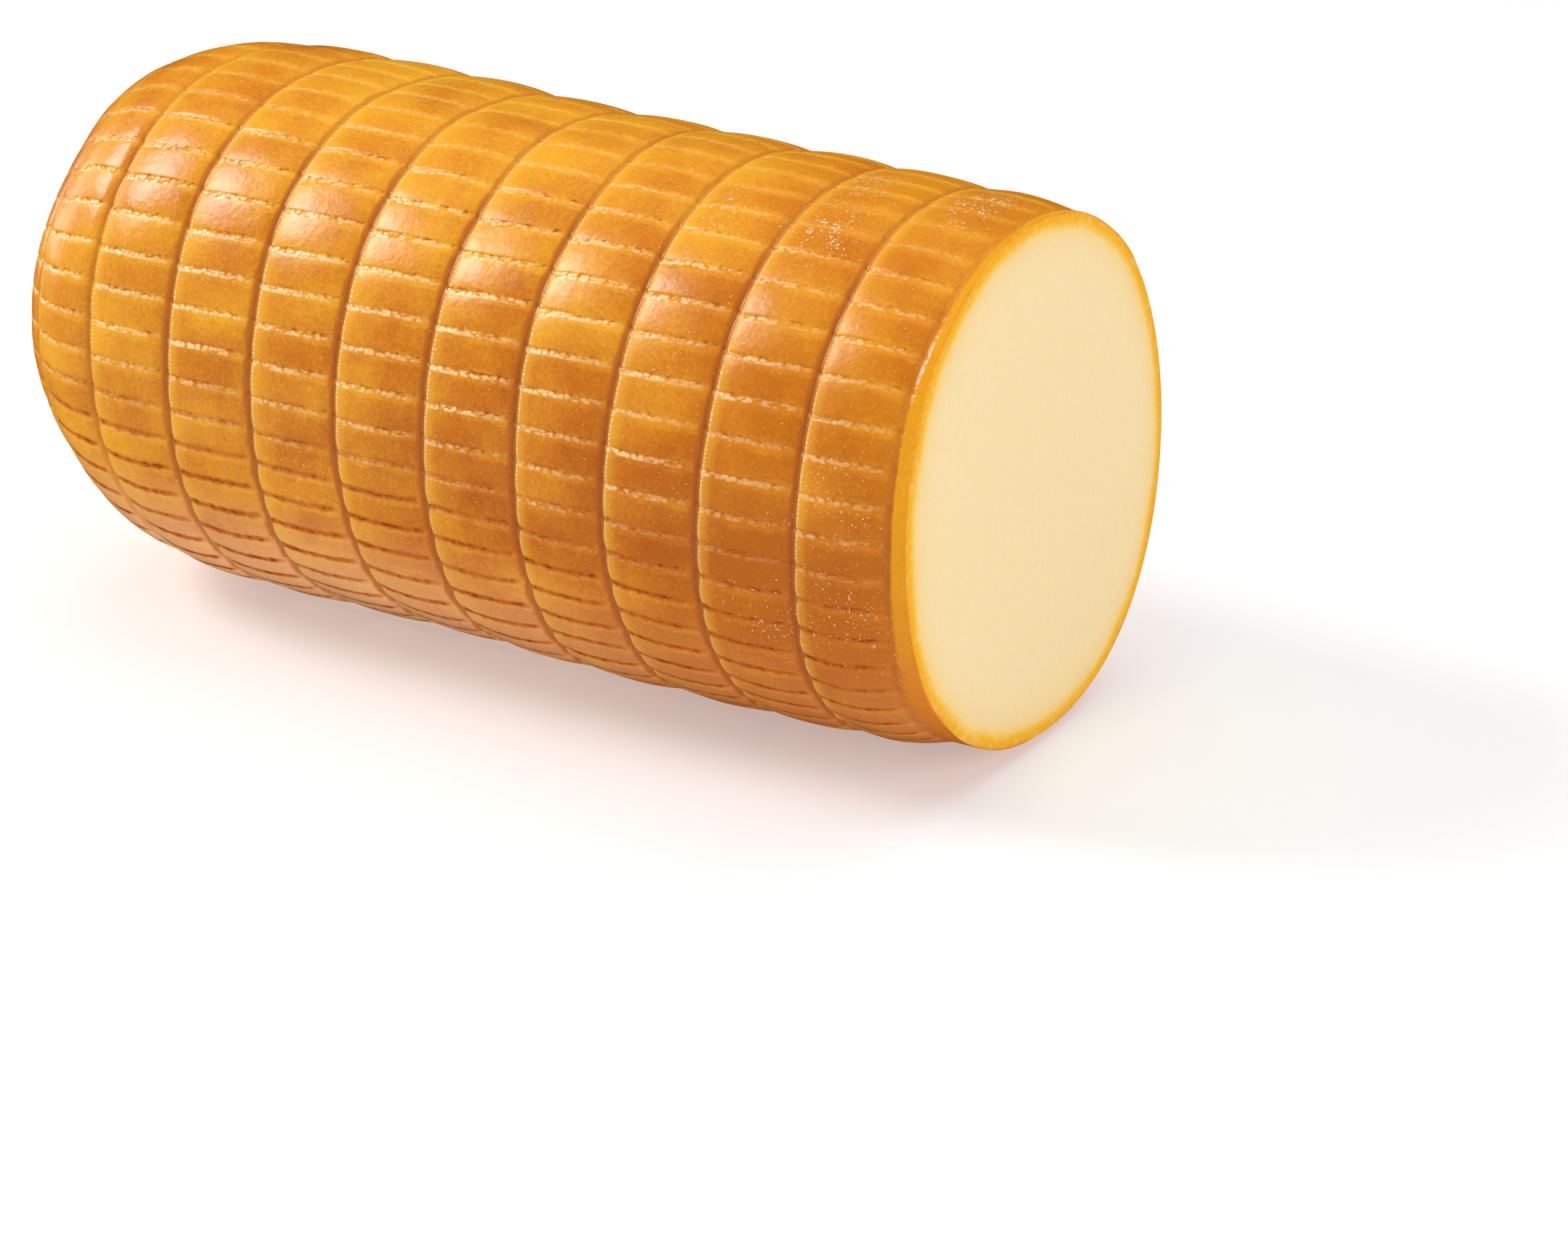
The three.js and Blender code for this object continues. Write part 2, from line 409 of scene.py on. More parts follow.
def logPoints():  # the rind from the first hoop to the tip
    band, bandPlace, gap = rowBand[:, None], rowPlace[:, None], rowGap[:, None]
    share = rowShare[:, None]
    after = (columnString + 1) % strings["count"]
    climb = strings["skew"] * (0.5 - share)
    jitter = draws["jitter"][band, columnString] * (1 - columnShare)
    jitter = jitter + draws["jitter"][band, after] * columnShare
    angle = columnAngle + climb + jitter * np.sin(math.pi * np.clip(bandPlace, 0, 1))
    wobble = hoopWobble(band, angle) * (1 - share) + hoopWobble(band + 1, angle) * share
    lobe = between(strings["lobe"], lowSide(np.sin(angle)))
    lobe = lobe * (0.5 - 0.5 * np.cos(fullTurn * columnPlace))
    lipShare = smooth(*strings["lobeFrom"], gap) * smooth(0, strings["lobeLip"], -gap)
    inGather = band == len(hoops["bandWidths"])
    s = rowS[:, None] + np.where(inGather, 0, wobble + lobe * lipShare)
    inset = netRelief(band, bandPlace, gap, angle)
    return s, angle, np.where(inGather, gatherRelief(s, angle, gap), inset)


def frontShare(gap):  # the strings' print fades out in front of the first hoop
    return 1 - (1 - strings["frontShare"]) * smooth(0, strings["frontFade"], -gap)


def frontPoints():  # the narrow strip between the first hoop and the knife's edge
    angle = columnAngle[None, :] + strings["skew"] * 0.5
    hoopS = log["frontReach"] + hoops["centre"] + hoops["firstBack"] + hoopWobble(0, angle)

    def relief(s):
        gap = s - hoopS
        return netRelief(0, 0.0, gap, angle, frontShare(gap))

    edgeS = hoopS - cut["stripGuess"]
    for _ in range(cut["stripSettles"]):  # settles on where the plane meets the rind
        edge = place(edgeS, angle, relief(edgeS))
        edgeS = edgeS - (cutX(edge[..., 1], edge[..., 2]) - edge[..., 0])
    room = hoopS - edgeS
    shares = np.concatenate([1 - cut["edgeRound"] / room]
                            + [np.full_like(room, share) for share in cut["frontRows"]])
    s = hoopS - room * shares
    rim = place(edgeS, angle, relief(edgeS) + cut["edgeRound"])
    rim[..., 0] = cutX(rim[..., 1], rim[..., 2])
    return s, np.broadcast_to(angle, s.shape), relief(s), rim[0], s - hoopS


frontS, frontAngle, frontInset, rimPoints, frontGap = frontPoints()
bodyS, bodyAngle, bodyInset = logPoints()
rindS = np.concatenate([frontS, bodyS])
rindAngle = np.concatenate([frontAngle, bodyAngle])
rindInset = np.concatenate([frontInset, bodyInset])
rindPoints = place(rindS, rindAngle, rindInset)
for size, height, seed in zip(log["lumpSizes"], log["lumpHeights"], log["lumpSeeds"]):
    rindInset = rindInset + height * lumps(rindPoints, size, seed)
rindPoints = place(rindS, rindAngle, rindInset)
rowCount, columnCount = rindPoints.shape[:2]
print("rind grid", rowCount, "by", columnCount)

# What the painted amounts go by, at each point of the rind
rindX = onOutline("x", rindS)
rindRise = (rindPoints[..., 2] - axisHeight(rindX)) / logRadius(rindX)
frontRowCount = rowCount - len(rowS)
rindGap = np.concatenate([frontGap, np.broadcast_to(rowGap[:, None], (len(rowS), columnCount))])
rindBand = np.concatenate([np.zeros(frontRowCount, int), rowBand])[:, None]
rindPlace = np.concatenate([np.zeros(frontRowCount), rowPlace])[:, None]
inFront = np.arange(rowCount)[:, None] < frontRowCount
atCut = np.where(inFront, smooth(*cut["stripFrom"], -rindGap), 0)

# Colour that the smoke left, with painted shade down the sides and front and painted light and shade on the
# rounded end, a painted reflection of the table low down, and dry salty bloom with painted glints, all as
# amounts at each point
smokeAndShade = {
    "spots": [(-29, 26, 7, 0.25), (-28, -3, 7, 0.4), (-12, -4, 8, 0.25), (-45, -4, 8, 0.2),
              (-38, 50, 6, 0.2), (-78, 57, 6, 0.2), (-8, -30, 12, 0.15), (-90, 8, 14, 0.12)],
    "hiddenSpots": 14,
    "hiddenStrength": 0.55,
    "patchSize": 16.0,  # soft patches all over
    "patchAmount": 0.12,
    "patchSeed": 21,
    "plain": 0.1,  # tone of a plain surface: 0 is golden, 1 is brown
    "deepest": 1.2,
    "side": 0.06,  # painted shade: browner down the sides than on top
    "front": 0.15,  # and most across the front, also painted shade
    "frontAngle": math.radians(8),
    "frontPower": 6,
    "dome": (-0.2, 0.18),  # painted light on the rounded end's front, which is paler, and painted shade on its top, which is a little browner
    "domeTop": (0.35, 0.85),  # by sine of the angle
    "cutSide": 0.35,  # browner low down towards the cut
    "cutSidePlace": (-130, 0),
    "cutSideHeight": (-0.6, 0.3),
    "dryTone": 0.12,  # and a little all over the dry rind
    "dryPlace": (-80, -15),  # the rind is drier towards the cut
    "strip": (0.12, 0.6),  # golden beside the cut, browner low down
    "stripHeight": (-0.1, 0.8),
    "paintedSheenHeight": (0.2, 0.8),  # a painted reflection of the pale table low down, by sine of the angle
    "paintedSheenTip": (5, 45),  # and none where the net was tied, in mm from there
    "paintedSheenPlace": (-130, -40),  # thinner towards the cut
    "paintedSheenFade": 0.65,
}
saltBloomAndGlints = {
    "spots": [(-9, 96, 6, 0.8), (-10, 88, 5, 0.9), (-31, 95, 6, 0.5), (-32, 87, 6, 0.6),
              (-28, 66, 6, 1.0), (-47, 65, 5, 0.6), (-50, 72, 5, 0.5), (-28, 78, 6, 0.5),
              (-10, 80, 5, 0.5), (-118, 82, 5, 0.45), (-22, -17, 9, 0.4), (-6, -12, 8, 0.4),
              (-12, 17, 8, 0.35), (-45, 30, 4, 0.4), (-118, -10, 6, 0.35), (-70, -28, 4, 0.4),
              (-10, 0, 12, 0.2)],
    "hiddenSpots": 16,
    "hiddenStrength": 0.8,
    "dry": 0.03,  # all over the dry rind
    "stripEdge": 0.6,  # and along the strip beside the cut, where its grains are painted glints
}
farSide = {"along": (-175, 0), "degrees": (118, 300), "radius": (5, 10), "share": (0.3, 1)}


def addHiddenSpots(marks):  # the far side and underside get their own, by the same measure
    for _ in range(marks["hiddenSpots"]):
        along, degrees, radius, share = [dice.uniform(*span) for span in farSide.values()]
        marks["spots"].append((along, degrees, radius, share * marks["hiddenStrength"]))


addHiddenSpots(smokeAndShade)
addHiddenSpots(saltBloomAndGlints)


def blotches(spots):  # soft spots: mm along the log, angle in degrees, radius in mm, strength
    total = np.zeros(rindAngle.shape)
    for x, degrees, radius, strength in spots:
        turn = (rindAngle - math.radians(degrees) + math.pi) % fullTurn - math.pi
        far = np.hypot(rindPoints[..., 0] - x, turn * log["crestRadius"]) / radius
        total += strength * np.exp(-far * far)
    return total


def rindTones():
    along, sine = rindPoints[..., 0], np.sin(rindAngle)
    dry = smooth(*smokeAndShade["dryPlace"], along)
    facing = np.maximum(np.cos(rindAngle - smokeAndShade["frontAngle"]), 0) ** smokeAndShade["frontPower"]
    cutSide = smooth(*smokeAndShade["cutSidePlace"], along) * smooth(*smokeAndShade["cutSideHeight"], -sine)
    dome = between(smokeAndShade["dome"], smooth(*smokeAndShade["domeTop"], sine))
    tone = smokeAndShade["plain"] + smokeAndShade["patchAmount"] * lumps(rindPoints, smokeAndShade["patchSize"], smokeAndShade["patchSeed"])
    # painted shade down the sides and across the front, painted light and shade on the rounded end
    tone = tone + smokeAndShade["side"] * np.cos(rindAngle) ** 2 + smokeAndShade["front"] * facing
    tone = tone + smokeAndShade["cutSide"] * cutSide + smokeAndShade["dryTone"] * dry
    tone = tone + dome * smooth(*hoops["dome"], along) + blotches(smokeAndShade["spots"])
    stripBelow = smooth(*smokeAndShade["stripHeight"], -sine)
    tone = tone * (1 - atCut) + between(smokeAndShade["strip"], stripBelow) * atCut
    brickTone = draws["brickTone"][rindBand, columnString]
    # painted reflection of the pale table on the underside, fading towards the tip and the cut
    paintedSheen = smooth(*smokeAndShade["paintedSheenHeight"], -sine) * smooth(*smokeAndShade["paintedSheenTip"], outlineLength - rindS)
    paintedSheen = paintedSheen * (1 - smokeAndShade["paintedSheenFade"] * smooth(*smokeAndShade["paintedSheenPlace"], along))
    salted = blotches(saltBloomAndGlints["spots"]) + saltBloomAndGlints["dry"] * dry
    stripEdge = 4 * atCut * (1 - atCut)  # 1 halfway up the strip's edge
    return {"browningAndShade": np.clip(tone, 0, smokeAndShade["deepest"]),
            "brickTone": np.broadcast_to(brickTone, along.shape),
            "dry": dry,
            "saltBloomAndGlints": np.clip((1 - atCut) * salted + saltBloomAndGlints["stripEdge"] * stripEdge, 0, 1),
            "strip": atCut * (1 - stripBelow),
            "lowStrip": atCut * stripBelow,
            "paintedSheen": paintedSheen * (1 - atCut)}


def netPrints():  # how much of each print lies at a point, for colour and fine relief
    share = np.concatenate([frontShare(frontGap), np.ones((len(rowS), columnCount))])
    share = share * smooth(*strings["rollFade"], rindPlace)
    low = lowSide(rindRise)
    onTop = smooth(*strings["top"], np.sin(rindAngle))
    dry = smooth(*smokeAndShade["dryPlace"], rindPoints[..., 0])
    yarnDepth = share * between(strings["yarn"], low) * (1 - strings["topFade"] * onTop)
    flecks = share * draws["fleck"][rindBand, nearestString]
    flecks = flecks * (1 - strings["fleckBelow"] * low) * (1 - strings["fleckTop"] * onTop)
    flecks = flecks * between((strings["fleckStart"], 1.0), smooth(*strings["fleckAlong"], rindPlace))
    onDome = smooth(*hoops["dome"], rindPoints[..., 0])
    # the painted shade of a hoop's groove and the painted highlight on its lip's teeth, both less on top,
    # on the rounded end and beside the cut
    hoopShadeAndGlint = (1 - hoops["topFade"] * onTop) * (1 - hoops["domeFade"] * onDome)
    atFirst = (rindBand == 0) & (rindPlace < 0.5)
    hoopShadeAndGlint = hoopShadeAndGlint * np.where(atFirst, 1 - hoops["firstFade"], 1)
    return {"hoopShadeAndGlint": hoopShadeAndGlint * (1 - atCut),
            "onTop": onTop,
            "yarnDepth": yarnDepth * draws["stringDepth"][rindBand, nearestString],
            "flecks": flecks * (1 - strings["fleckDry"] * dry),
            "lowSide": low}


rindAmounts = {**rindTones(), **netPrints()}
print("rind painted with", len(rindAmounts), "amounts")


def buildLoaf():  # points, faces and maps of the whole loaf, and how far each face point is from the rim
    points, faces, slots, uvs, brickUvs = [], [], [], [], []
    arc = np.append(columnAngle, columnAngle[0] + fullTurn) * log["crestRadius"]
    j = np.arange(columnCount)
    after = (j + 1) % columnCount
    across = columnPlace * strings["pitch"]
    acrossAfter = np.where(columnPlace[after] == 0, strings["pitch"], across[after])

    def addPoints(new):  # gives back their numbers
        first = sum(len(part) for part in points)
        points.append(new)
        return np.arange(first, first + len(new))

    def corners(uFirst, uSecond, vHere, vAfter):
        return np.stack([np.stack([uFirst[j], vHere], 1), np.stack([uFirst[after], vAfter], 1),
                         np.stack([uSecond[after], vAfter], 1), np.stack([uSecond[j], vHere], 1)],
                        1).reshape(-1, 2).tolist()

    def quads(first, second, slot, uFirst, uSecond, alongFirst=0.0, alongSecond=0.0):
        faces.extend(np.stack([first[j], first[after], second[after], second[j]], 1).tolist())
        slots.extend([slot] * columnCount)
        uvs.extend(corners(uFirst, uSecond, arc[j], arc[j + 1]))
        brickUvs.extend(corners(np.full(columnCount, alongFirst), np.full(columnCount, alongSecond),
                                across, acrossAfter))

    def oneFace(loop, slot, netUv, brickUv=(0.0, 0.0)):
        faces.append([int(k) for k in loop])
        slots.append(slot)
        uvs.extend(netUv)
        brickUvs.extend([brickUv] * len(loop))

    # the rind, closed at the tip
    grid = addPoints(rindPoints.reshape(-1, 3)).reshape(rowCount, columnCount)
    along = rindPlace[:, 0] * hoops["pitch"]
    for i in range(rowCount - 1):
        sameBand = rindBand[i, 0] == rindBand[i + 1, 0]
        alongNext = along[i + 1] if sameBand else hoops["pitch"]
        quads(grid[i], grid[i + 1], 0, rindS[i], rindS[i + 1], along[i], alongNext)
    tipPoint = place(np.array([outlineLength]), np.array([0.0]), np.array([gather["depth"]]))
    tip = addPoints(tipPoint)[0]
    for k in range(columnCount):
        netUv = [(rindS[-1][k], arc[k]), (rindS[-1][k], arc[k + 1]), (outlineLength, arc[k])]
        oneFace([grid[-1][k], grid[-1][after[k]], tip], 0, netUv, (hoops["pitch"], strings["pitch"] / 2))

    # the cut face: fine rows beside the rim, coarser ones inside
    centre = np.array([0.0, 0.0, axisHeight(0.0)])
    centre[0] = cutX(centre[1], centre[2])
    inward = centre - rimPoints
    inward = inward / np.linalg.norm(inward, axis=-1, keepdims=True)
    lastRow, noGap = addPoints(rimPoints), np.zeros(columnCount)
    rimGaps = [noGap]
    quads(lastRow, grid[0], 0, frontS[0], frontS[0])
    for gap in cut["rimRows"]:
        new = addPoints(rimPoints + gap * inward)
        quads(new, lastRow, 1, noGap + gap, noGap)
        rimGaps.append(noGap + gap)
        lastRow = new
    step = cut["innerStep"]
    coarse = lastRow[::step]
    for gap in cut["innerRows"]:
        new = addPoints((rimPoints + gap * inward)[::step])
        for k in range(len(new)):
            nextK = (k + 1) % len(new)
            if coarse[1] - coarse[0] == step:  # the first coarse row takes up the fine one's points
                outer = [lastRow[(k * step + m) % columnCount] for m in range(step + 1)]
            else:
                outer = [coarse[k], coarse[nextK]]
            oneFace(outer[::-1] + [new[k], new[nextK]], 1, [(gap, 0.0)] * (len(outer) + 2))
        rimGaps.append(np.full(len(new), gap))
        coarse = new
    middle = addPoints(centre[None, :])[0]
    for k in range(len(coarse)):
        oneFace([middle, coarse[(k + 1) % len(coarse)], coarse[k]], 1, [(gap, 0.0)] * 3)
    rimGaps.append(np.full(1, log["crestRadius"]))
    return (np.concatenate(points), faces, slots, np.array(uvs), np.array(brickUvs),
            np.concatenate(rimGaps))


loafPoints, loafFaces, loafSlots, netUvs, brickUvs, faceGaps = buildLoaf()
cutEdge = rimPoints[:, 0].max()
shift = np.array([cadHigh.x / mm - cutEdge, 0.0, 0.0])  # into the frame, by the cut's foremost edge
loafMesh = bpy.data.meshes.new("cheeseLoaf")
loafMesh.from_pydata(((loafPoints + shift) * mm).tolist(), [], loafFaces)
loafMesh.polygons.foreach_set("material_index", loafSlots)
loafMesh.polygons.foreach_set("use_smooth", [True] * len(loafFaces))
loafMaps = {
    "netMm": netUvs,  # mm along the log, mm round it
    "brickMm": brickUvs,  # mm from the hoop in front, mm from the string below
}
for mapName, mapUvs in loafMaps.items():
    loafMesh.uv_layers.new(name=mapName).data.foreach_set("uv", mapUvs.ravel())


def addAmount(name, rindValues, tipValue, faceValues):
    values = np.concatenate([np.asarray(rindValues).ravel(), [tipValue], faceValues])
    layer = loafMesh.attributes.new(name, "FLOAT", "POINT")
    layer.data.foreach_set("value", values.astype(np.float32))


faceCount = len(faceGaps)
for amountName, amounts in rindAmounts.items():
    addAmount(amountName, amounts, gather["tipAmount"], np.zeros(faceCount))
addAmount("rimGap", np.zeros(rowCount * columnCount), 0.0, faceGaps)
loafMesh.validate()
loafMesh.update()
loafPiece = bpy.data.objects.new("cheeseLoaf", loafMesh)
bpy.context.scene.collection.objects.link(loafPiece)
triangles = sum(len(face) - 2 for face in loafFaces)
print("loaf mesh:", len(loafPoints), "points,", triangles, "triangles")


def linear(hexColour):  # sRGB hex to the linear colour that shaders use
    parts = [int(hexColour[i:i + 2], 16) / 255 for i in (1, 3, 5)]
    return tuple(c / 12.92 if c <= 0.04045 else ((c + 0.055) / 1.055) ** 2.4 for c in parts) + (1.0,)


def perMetre(sizeMm):  # texture scale for a feature of this size, in object coordinates
    return 1 / (sizeMm * mm)


def addNode(tree, kind, inputs=(), out=0, ramp=None, **settings):
    # inputs by name or in order, values or other nodes' outputs; gives back the output used next
    node = tree.nodes.new("ShaderNode" + kind)
    for name, value in settings.items():
        setattr(node, name, value)
    sockets = inputs if isinstance(inputs, dict) else dict(enumerate(inputs))
    for socket, value in sockets.items():
        if isinstance(value, bpy.types.NodeSocket):
            tree.links.new(value, node.inputs[socket])
        else:
            node.inputs[socket].default_value = value
    if ramp:
        stops = node.color_ramp.elements
        while len(stops) < len(ramp):
            stops.new(0.5)
        for stop, (position, colour) in zip(stops, ramp):
            stop.position = position
            stop.color = linear(colour)
    return node.outputs[out] if len(node.outputs) else node


def newMaterial(name):
    material = bpy.data.materials.new(name)
    material.use_nodes = True
    material.node_tree.nodes.clear()
    return material, material.node_tree


# Smoked rind: net-pressed skin, dried in smoke and lightly oiled. It gives a satin honey and amber
# surface, golden beside the hoops and strings and browner in the middle of each brick, with pale
# crumbs and torn pits where the twisted yarn lay and fine salt that sparkles. Its colour also holds
# painted shade in the grooves and pits, painted glints on crumbs, teeth and salt, and a painted table
# reflection low down.
rind = {
    "tones": [(0.0, "#F8B22E"), (0.3, "#E99B28"), (0.6, "#D67E1E"), (1.0, "#BA580E")],
    "brickTone": 0.09,  # bricks differ this much
    "middleTone": (0.16, 0.26),  # a brick's middle is browner than its edges: on moist rind, on dry rind
    "goldenAt": 0.55,  # mm below a string, the middle of its golden zone
    "middleFrom": 0.7,  # mm from there where the brown begins
    "middleTo": (1.2, 1.7),  # and where it is full, on moist and on dry rind
    "middleFront": (0.2, 1.0),  # the same from the hoop in front
    "middleLip": (0.9, 12.0),  # and from the lip, where it fades over most of the band: partly the smoke's pattern, partly painted shade where the band turns from the light
    "ragged": 1.6,  # mm that these edges wander
    "mottle": 0.38,  # tone differs this much, in soft patches and in grain
    "grain": 0.66,
    "mottleSize": 4.0,
    "peelSize": 1.5,
    "grainSize": 0.6,  # coarser than real smoke grain, so that it shows
    "dents": 0.12,  # mm deep
    "peel": 0.055,
    "pores": 0.026,
    "paintedSheenColour": "#FFC8A0",  # painted reflection of the pale table, low down
    "paintedSheen": 0.68,
    "hoopShadeColour": "#C26428",  # painted shade in the hoops' grooves and on the rolled-down side behind them
    "hoop": 0.7,
    "hoopFront": (0.5, 1.05),  # mm from the hoop's middle where that fades
    "hoopLip": (0.9, 0.6),  # and the same under the lip
    "hoopTeeth": 0.2,  # mm that the cord's teeth reach into it
    "hoopTop": 0.15,  # mm narrower on top
    "lipColour": "#FFC03C",  # golden towards a band's lip
    "lip": 0.5,
    "lipReach": (3.4, 1.2),  # mm from the hoop's middle where that begins and is full
    "dryColour": "#E08C10",  # deeper where the rind is dry
    "dry": 0.35,
    "stripColour": "#F6B21C",  # golden beside the cut
    "strip": 0.35,
    "lowStripColour": "#EA8436",  # and orange low down
    "lowStrip": 0.6,
    "stripWaves": 0.14,
    "roughness": 0.28,
    "roughMottle": 0.12,
    "roughDry": 0.03,
    "roughStrip": -0.14,  # moist beside the cut
    "ior": 1.46,
    "specular": 0.42,
    "subsurface": 0.4,
    "scatter": (1.0, 0.4, 0.1),
    "scatterMm": 1.0,
}

# Marks of the twisted yarn, in mm from a string's middle
yarn = {
    "upperEdge": 0.35,  # a torn upper edge
    "tear": 0.9,
    "tearSize": (1.5, 1.0),
    "upperWall": 0.5,  # steep
    "lowerWall": (-1.1, 0.0),  # gentle
    "breakSize": (2.4, 3.0),  # deep and shallow by turns along the string
    "breaks": (0.4, 0.6),
    "shallow": 0.25,
    "crumbSize": (1.1, 0.8),
    "crumbEdge": (0.35, 0.7),
    "crumbPick": (0.0, 0.35),
    "crumbHeight": 0.8,
    "fleckGlintColour": "#FFDA9C",
    "fleckLow": (-1.05, -0.65),
    "fleckHigh": (0.25, -0.1),
    "fleck": 1.05,
    "lineShadeColour": "#A84E0C",  # painted shade: dark dots under the upper edge, between the crumbs
    "line": 0.85,
    "lineDry": 0.5,  # of it missing on dry rind
    "lineAt": 0.18,
    "lineEdge": (0.12, 0.45),
    "lineGap": (0.4, 0.7),  # from a crumb's middle
    "lineAlong": (4.0, 14.0),  # mm from the hoop in front where they grow fewer
    "lineLeft": 0.5,  # of them left beyond that
    "dashShadeColour": "#CC6810",  # low down the marks are brown dashes of painted shade
    "dash": 0.85,
    "dashAt": 0.1,
    "dashEdge": (0.35, 0.85),
    "pitShadeColour": "#963E0C",  # with darker pits of painted shade
    "pit": 0.95,
    "pitEdge": (0.0, 0.35),
    "pitGap": (0.25, 0.6),  # deepest between the crumbs
    "pitLeft": 0.25,  # of their brown left elsewhere
    "dashBreak": 0.4,  # mm wider where the mark is deep
    "dashSheen": 0.2,  # and under the painted table reflection
    "topColour": "#FFCE60",  # on top they are golden streaks
    "topLine": 0.3,
    "topBreak": 0.35,  # of it left where they break
    "topAt": -0.35,
    "topEdge": (0.15, 0.8),
}

# The hoop's cord leaves fine teeth along the lip
cord = {
    "pitch": 0.8,
    "drift": 2.0,  # teeth that the spacing wanders by
    "driftSize": (6.0, 2.5),
    "place": 17.1,  # mm behind the hoop in front
    "halfWidth": 0.4,
    "depth": 0.09,
    # painted highlight along the lip's teeth, where their rounded edge catches the light
    "paleColour": "#FFDDA0",
    "pale": (0.3, 0.75),  # between the teeth and on them
    "lowGain": 0.8,  # of it left low down
    "topFade": 0.8,  # and missing on top
}

# Salt that dried on the rind, coarser than real so that it shows; its pale grains are also painted glints
saltAndGlints = {
    "size": 0.38,
    "limit": 0.745,  # of the noise, above which a grain lies
    "bloomLimit": 0.24,  # lower by this in full bloom
    "edge": 0.04,
    "clump": (0.45, 0.62),
    "clumpLeast": 0.3,
    "cover": 0.85,
    "colour": "#FFE2B8",
    "height": 0.04,
}


